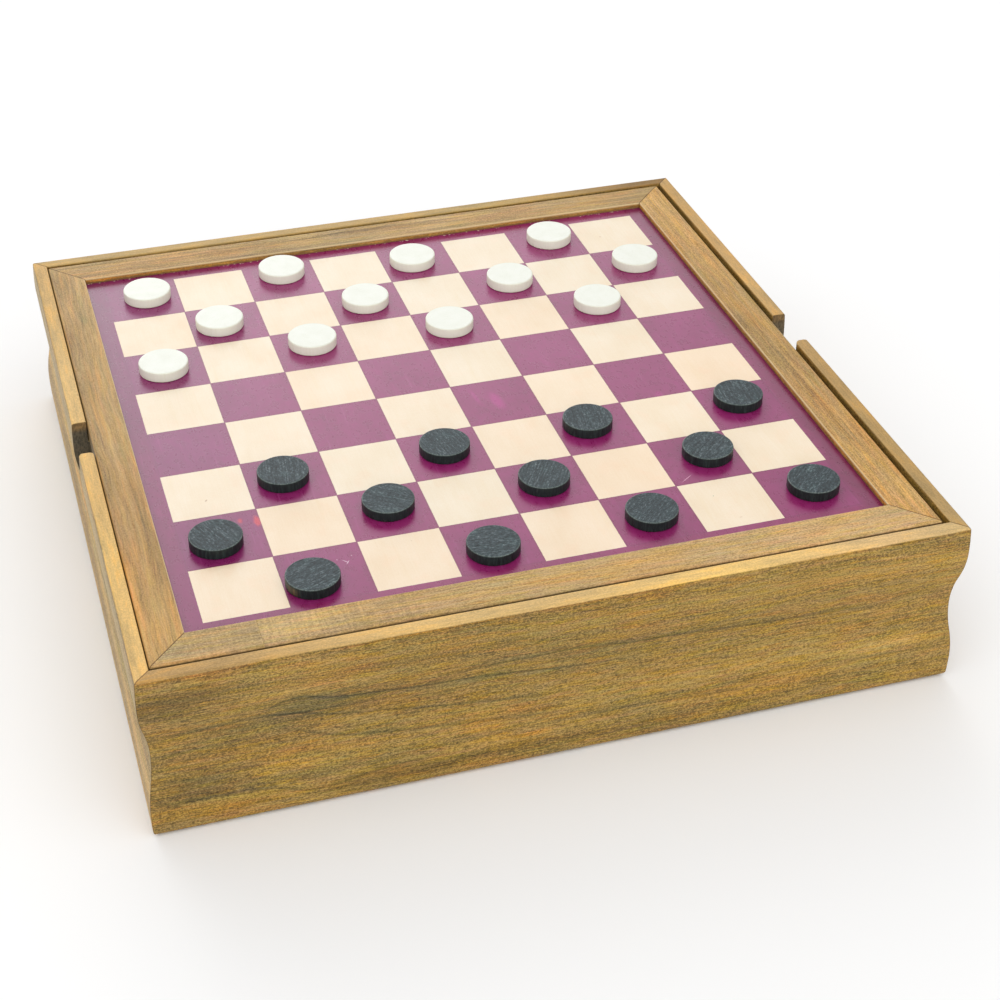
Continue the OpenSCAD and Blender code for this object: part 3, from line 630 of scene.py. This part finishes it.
def man(name, node, seed, dark):
    """One draughtsman, sawn from a dowel: saw marks on its faces, long grain round its side."""
    lo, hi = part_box(node)
    cx, cy, z0, z1 = 500 * (lo[0] + hi[0]), 500 * (lo[1] + hi[1]), 1000 * lo[2], 1000 * hi[2]
    rad = 500 * (hi[0] - lo[0])
    rnd = random.Random(seed)
    turn = rnd.uniform(0, math.pi)
    m, n = material(name)
    x, y, z = n.split(millimetres(n))
    x, y = n.sub(x, cx), n.sub(y, cy)
    ca, sa = math.cos(turn), math.sin(turn)
    s, t = n.add(n.mul(x, ca), n.mul(y, sa)), n.add(n.mul(x, -sa), n.mul(y, ca))
    r = n.m("SQRT", n.add(n.mul(x, x), n.mul(y, y)))
    side = n.step(r, rad - 0.35, rad - 0.12)
    arris = n.mul(n.step(r, rad - 0.50, rad - 0.24), n.step(z, z1 - 0.42, z1 - 0.14))
    foot = n.mul(n.step(r, rad - 0.5, rad - 0.2), n.step(z, z0 + 0.5, z0 + 0.1))
    angle = n.m("ARCTAN2", y, x)
    seed = seed * 1.7
    saw = n.noise(n.vec(n.mul(s, 0.10), n.mul(t, 1.6), seed), 1.0, 3.0, 0.62)
    pits = n.noise(n.vec(n.mul(s, 1.6), n.mul(t, 2.2), seed + 4.0), 1.0, 3.0, 0.70)
    blot = n.noise(n.vec(n.mul(s, 0.16), n.mul(t, 0.22), seed + 8.0), 1.0, 2.0, 0.5)
    long = n.noise(n.vec(n.mul(angle, rad * 1.5), n.mul(z, 0.22), seed + 12.0), 1.0, 3.0, 0.6)
    nick = n.noise(n.vec(n.mul(angle, rad * 0.55), n.mul(z, 0.7), seed + 17.0), 1.0, 2.0, 0.6)
    nick = n.step(nick, 0.66, 0.72)
    if dark:
        chip = n.noise(n.vec(n.mul(s, 0.9), n.mul(t, 1.4), seed + 6.0), 1.0, 3.0, 0.70)
        q = n.add(n.add(n.mul(saw, 0.34), n.mul(chip, 0.56)), n.mul(blot, 0.10))
        top = n.ramp(q, [(0.36, (0.002, 0.005, 0.007)), (0.46, (0.012, 0.025, 0.030)), (0.54, (0.034, 0.054, 0.062)), (0.64, (0.150, 0.188, 0.200))])
        top = n.mix(n.mul(n.step(blot, 0.50, 0.66), 0.45), top, (0.88, 1.10, 1.02), "MULTIPLY")
        rimc = n.mix(n.step(pits, 0.35, 0.62), (0.055, 0.080, 0.075), (0.22, 0.27, 0.255))
        flank = n.ramp(long, [(0.28, (0.002, 0.007, 0.007)), (0.50, (0.008, 0.018, 0.017)), (0.68, (0.020, 0.037, 0.033)), (0.80, (0.040, 0.058, 0.048))])
        flank = n.mix(n.mul(nick, 0.35), flank, (0.065, 0.075, 0.062))
        col = n.mix(side, top, flank)
        col = n.mix(n.mul(arris, 0.65), col, rimc)
        col = n.mix(n.mul(foot, 0.35), col, (0.05, 0.06, 0.05))
        if node == "dark_draughtsman_01":
            # rubbed through to the brown wood on one side
            rub = n.mul(n.step(n.m("ABSOLUTE", n.add(angle, 2.62)), 0.42, 0.10), n.step(z, z0 + 0.1, z0 + 1.0))
            rub = n.mul(n.mul(rub, n.step(z, z1 - 0.3, z1 - 1.6)), n.step(pits, 0.38, 0.60))
            col = n.mix(n.mul(rub, 0.75), col, (0.15, 0.105, 0.045))
        gloss = n.add(n.lin(pits, 0.3, 0.7, 0.56, 0.40), n.mul(side, -0.05))
        rel = n.add(n.mul(saw, 0.30), n.mul(pits, 0.70))
        rel = n.mix(side, n.vec(rel, rel, rel), n.vec(n.add(long, n.mul(nick, -0.8)), long, long))
        n.surface(Base_Color=col, Roughness=gloss, Specular_IOR_Level=0.36, Normal=n.bump(rel, 0.00026, 0.85))
    else:
        q = n.add(n.mul(blot, 0.5), n.mul(pits, 0.5))
        top = n.ramp(q, [(0.30, (0.735, 0.750, 0.660)), (0.50, (0.780, 0.795, 0.715)), (0.72, (0.815, 0.825, 0.765))])
        flank = n.ramp(long, [(0.25, (0.790, 0.800, 0.660)), (0.50, (0.820, 0.830, 0.705)), (0.78, (0.845, 0.855, 0.740))])
        col = n.mix(side, top, flank)
        col = n.mix(n.mul(n.mul(nick, side), 0.10), col, (0.66, 0.62, 0.46))
        # painted shade: the lower part of the side darker towards the board, and a painted contact shadow along its
        # foot
        shade = n.mul(n.mul(n.step(z, z0 + 2.2, z0 + 0.2), side), 0.35)
        col = n.mix(shade, col, (0.88, 0.90, 0.80), "MULTIPLY")
        col = n.mix(n.mul(foot, 0.75), col, (0.42, 0.38, 0.26))
        dot = n.step(n.noise(n.vec(n.mul(s, 0.9), n.mul(t, 0.9), seed + 25.0), 1.0, 1.0, 0.5), 0.76, 0.80)
        col = n.mix(n.mul(dot, 0.35), col, (0.60, 0.55, 0.42))
        rel = n.add(n.mul(saw, 0.4), n.mul(pits, 0.6))
        rel = n.mix(side, n.vec(rel, rel, rel), n.vec(long, long, long))
        n.surface(Base_Color=col, Roughness=n.lin(pits, 0.3, 0.7, 0.44, 0.34), Specular_IOR_Level=0.5, Normal=n.bump(rel, 0.00006, 0.6))
    return m


for i in range(1, 13):
    dress(f"dark_draughtsman_{i:02d}", man(f"charcoal_{i:02d}", f"dark_draughtsman_{i:02d}", i, True))
    dress(f"light_draughtsman_{i:02d}", man(f"ivory_{i:02d}", f"light_draughtsman_{i:02d}", 40 + i, False))

# ---------------------------------------------------------------- inside the box


def plywood(name, along, across, through, z0, sheet, seed):
    """Birch plywood. The plies are layers through the sheet, so its edges are striped."""
    m, n = material(name)
    xyz = dict(zip("xyz", n.split(millimetres(n))))
    l, a, t = xyz[along], xyz[across], xyz[through]
    depth = n.mul(n.sub(t, z0), 5.0 / sheet)
    ply = n.m("FLOOR", depth)
    odd = n.m("LESS_THAN", n.m("MODULO", n.add(ply, 40.0), 2.0), 0.5)
    wander = n.noise(n.vec(n.mul(l, 0.02), n.mul(a, 0.03), seed), 1.0, 2.0, 0.5)
    aw = n.add(a, n.mul(wander, 14.0))
    figure = n.noise(n.vec(n.mul(l, 0.012), n.mul(aw, 0.16), seed + 3.0), 1.0, 3.0, 0.55)
    fibre = n.noise(n.vec(n.mul(l, 0.10), n.mul(aw, 1.6), seed + 5.0), 1.0, 3.0, 0.62)
    cut = n.noise(n.vec(n.mul(l, 1.4), n.mul(a, 1.4), n.mul(t, 1.2)), 1.0, 2.0, 0.6)
    v = n.add(n.mul(figure, 0.5), n.mul(fibre, 0.5))
    pale = n.ramp(v, [(0.28, (0.47, 0.315, 0.155)), (0.50, (0.62, 0.455, 0.255)), (0.72, (0.73, 0.57, 0.36))])
    brown = n.ramp(cut, [(0.30, (0.27, 0.16, 0.07)), (0.70, (0.45, 0.29, 0.14))])
    col = n.mix(n.mul(odd, 0.0), pale, brown)
    core = n.mul(n.sub(1.0, odd), 0.85)
    shell = n.m("LESS_THAN", n.m("ABSOLUTE", n.sub(n.sub(t, z0), sheet / 2)), sheet / 2 - 0.02)
    col = n.mix(n.mul(core, shell), pale, brown)
    line = n.m("ABSOLUTE", n.sub(n.sub(depth, ply), 0.5))
    col = n.mix(n.mul(n.mul(n.step(line, 0.42, 0.48), shell), 0.5), col, (0.16, 0.09, 0.04))
    n.surface(Base_Color=col, Roughness=n.lin(fibre, 0.3, 0.7, 0.66, 0.52), Specular_IOR_Level=0.35,
              Normal=n.bump(n.add(fibre, n.mul(cut, 0.3)), 0.00008, 0.6))
    return m


dress("base_panel", plywood("base_plywood", "x", "y", "z", 0.0, 5.0, 51.0))
dress("long_divider", plywood("long_divider_plywood", "x", "z", "y", 38.0, 4.0, 53.0))
dress("cross_divider", plywood("cross_divider_plywood", "y", "z", "x", -2.0, 4.0, 57.0))

IVORY = (0.800, 0.740, 0.580)


def ivory(name, ink=None):
    """Moulded ivory plastic. ink(net, x, y, z) may give a mask for black paint."""
    m, n = material(name)
    x, y, z = n.split(millimetres(n))
    flow = n.noise(n.vec(n.mul(x, 0.05), n.mul(y, 0.22), n.mul(z, 0.22)), 1.0, 3.0, 0.5)
    tiny = n.noise(n.vec(n.mul(x, 1.6), n.mul(y, 1.6), n.mul(z, 1.6)), 1.0, 2.0, 0.6)
    col = n.ramp(flow, [(0.30, (0.745, 0.670, 0.490)), (0.52, IVORY), (0.72, (0.845, 0.800, 0.665))])
    gloss = n.lin(tiny, 0.3, 0.7, 0.20, 0.30)
    if ink:
        f = ink(n, x, y, z)
        col = n.mix(f, col, (0.012, 0.012, 0.014))
    n.surface(Base_Color=col, Roughness=gloss, Normal=n.bump(tiny, 0.00002, 0.5))
    return m


def die_ink(cx, cy, cz, turn):
    ca, sa = math.cos(turn), math.sin(turn)

    def f(n, x, y, z):
        x, y, z = n.sub(x, cx), n.sub(y, cy), n.sub(z, cz)
        s, t = n.add(n.mul(x, ca), n.mul(y, sa)), n.add(n.mul(x, -sa), n.mul(y, ca))
        big = n.m("MAXIMUM", n.m("MAXIMUM", n.m("ABSOLUTE", s), n.m("ABSOLUTE", t)), n.m("ABSOLUTE", z))
        far = n.m("SQRT", n.add(n.add(n.mul(s, s), n.mul(t, t)), n.mul(z, z)))
        return n.mul(n.m("LESS_THAN", big, 6.97), n.m("LESS_THAN", far, 10.25))

    return f


dress("dominoes", ivory("domino_ivory"))
dress("die_1", ivory("die_1_ivory", die_ink(58, 96, 12, math.radians(22))))
dress("die_2", ivory("die_2_ivory", die_ink(88, 74, 12, math.radians(-36))))


def domino_spots():
    """The spots, the line across each tile and its brass pin, on all twenty-eight."""
    at = {0: [], 1: [(0, 0)], 2: [(-1, -1), (1, 1)], 3: [(-1, -1), (0, 0), (1, 1)],
          4: [(-1, -1), (1, -1), (-1, 1), (1, 1)], 5: [(-1, -1), (1, -1), (0, 0), (-1, 1), (1, 1)],
          6: [(-1, -1), (0, -1), (1, -1), (-1, 1), (0, 1), (1, 1)]}
    pairs = [(i, j) for i in range(7) for j in range(i, 7)]
    random.Random(5).shuffle(pairs)
    spots, pins = bmesh.new(), bmesh.new()

    def dome(bm, cx, cy, z, rad, high, rings, sides):
        rows = []
        for k in range(rings + 1):
            f = k / rings
            rr, zz = rad * math.cos(f * math.pi / 2), high * math.sin(f * math.pi / 2)
            if k == rings:
                rows.append([bm.verts.new((cx, cy, z + high))])
            else:
                rows.append([bm.verts.new((cx + rr * math.cos(a), cy + rr * math.sin(a), z + zz))
                             for a in (2 * math.pi * i / sides for i in range(sides))])
        low = [bm.verts.new((v.co.x, v.co.y, z - 0.00010)) for v in rows[0]]
        rows.insert(0, low)
        bm.faces.new(list(reversed(low)))
        for p, q in zip(rows, rows[1:]):
            for i in range(sides):
                j = (i + 1) % sides
                bm.faces.new((p[i], p[j], q[0]) if len(q) == 1 else (p[i], p[j], q[j], q[i]))

    for i, (p, q) in enumerate(pairs):
        layer, k = i // 12, i % 12
        cx = (-136 + 3 + 20 + (k % 3) * 42) / 1000
        cy = (40 + 2 + 2.5 + 10 + (k // 3) * 22) / 1000
        z = (5 + layer * 6.05 + 6) / 1000
        for half, number in ((-1, p), (1, q)):
            for u, v in at[number]:
                dome(spots, cx + half * 0.0098 + v * 0.0052, cy + u * 0.0052, z, 0.00155, 0.00004, 2, 20)
        # the line, a thin bar with rounded ends
        ends = [(0.00035 * math.cos(a), s * 0.0079 + 0.00035 * math.sin(a)) for s, a0 in ((1, 0), (-1, math.pi))
                for a in (a0 + math.pi * t / 6 for t in range(7))]
        top = [spots.verts.new((cx + a, cy + b, z + 0.00004)) for a, b in ends]
        low = [spots.verts.new((cx + a * 1.1, cy + b * 1.004, z - 0.0001)) for a, b in ends]
        spots.faces.new(top)
        spots.faces.new(list(reversed(low)))
        for a in range(len(ends)):
            c = (a + 1) % len(ends)
            spots.faces.new((low[a], low[c], top[c], top[a]))
        dome(pins, cx, cy, z, 0.0011, 0.00005, 3, 20)
    made = []
    for name, bm in (("domino_spots", spots), ("domino_pins", pins)):
        mesh = bpy.data.meshes.new(name)
        bm.normal_update()
        bm.to_mesh(mesh)
        bm.free()
        for f in mesh.polygons:
            f.use_smooth = True
        mesh.set_sharp_from_angle(angle=math.radians(35))
        o = bpy.data.objects.new(name, mesh)
        scene.collection.objects.link(o)
        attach(o, "dominoes")
        made.append(o)
    return made


spots, pins = domino_spots()
m, n = material("domino_ink")
p = millimetres(n)
k = n.noise(p, 1.4, 2.0, 0.6)
n.surface(Base_Color=n.ramp(k, [(0.3, (0.008, 0.008, 0.010)), (0.7, (0.024, 0.023, 0.022))]), Roughness=n.lin(k, 0.3, 0.7, 0.30, 0.45))
spots.data.materials.append(m)
m, n = material("domino_brass")
k = n.noise(millimetres(n), 2.5, 2.0, 0.6)
n.surface(Base_Color=n.ramp(k, [(0.3, (0.55, 0.36, 0.12)), (0.7, (0.78, 0.57, 0.24))]), Metallic=1.0, Roughness=n.lin(k, 0.3, 0.7, 0.22, 0.36))
pins.data.materials.append(m)

# ---------------------------------------------------------------- edges

EASED = {"front_wall": 0.15, "rear_wall": 0.15, "left_wall": 0.15, "right_wall": 0.15, "base_panel": 0.3,
         "long_divider": 0.25, "cross_divider": 0.25, "front_rail_short": 0.10, "front_rail_long": 0.10,
         "rear_rail": 0.10, "left_rail": 0.10, "right_rail": 0.10}


def stray(o):
    """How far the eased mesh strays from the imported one, in metres."""
    tree = BVHTree.FromPolygons([v.co for v in o.data.vertices], [tuple(f.vertices) for f in o.data.polygons])
    eased = o.evaluated_get(bpy.context.evaluated_depsgraph_get())
    mesh = eased.to_mesh()
    far = max(tree.find_nearest(v.co)[3] for v in mesh.vertices)
    eased.to_mesh_clear()
    return far


for name, width in EASED.items():
    o = NODES[name]
    me = o.data
    if "custom_normal" in me.attributes:
        me.attributes.remove(me.attributes["custom_normal"])
    if "sharp_edge" in me.attributes:
        me.attributes.remove(me.attributes["sharp_edge"])
    for f in me.polygons:
        f.use_smooth = True
    weld = o.modifiers.new("weld", "WELD")
    weld.merge_threshold = 1e-6
    bevel = o.modifiers.new("eased", "BEVEL")
    bevel.width = width / 1000
    bevel.segments = 2
    bevel.limit_method = "ANGLE"
    bevel.angle_limit = math.radians(32)
    bevel.use_clamp_overlap = False
    bevel.miter_outer = "MITER_SHARP"
    even = o.modifiers.new("even", "WEIGHTED_NORMAL")
    even.weight = 50
    even.keep_sharp = True
    # where a notch cuts the moulding, some ways of offsetting the edges overshoot
    for kind, slide in (("OFFSET", True), ("WIDTH", False), ("ABSOLUTE", True), ("WIDTH", True), ("ABSOLUTE", False)):
        bevel.offset_type, bevel.loop_slide = kind, slide
        if stray(o) < 0.00075 * width:
            break
    else:
        bevel.use_clamp_overlap = True

scene.view_settings.view_transform = "Standard"
scene.view_settings.look = "None"
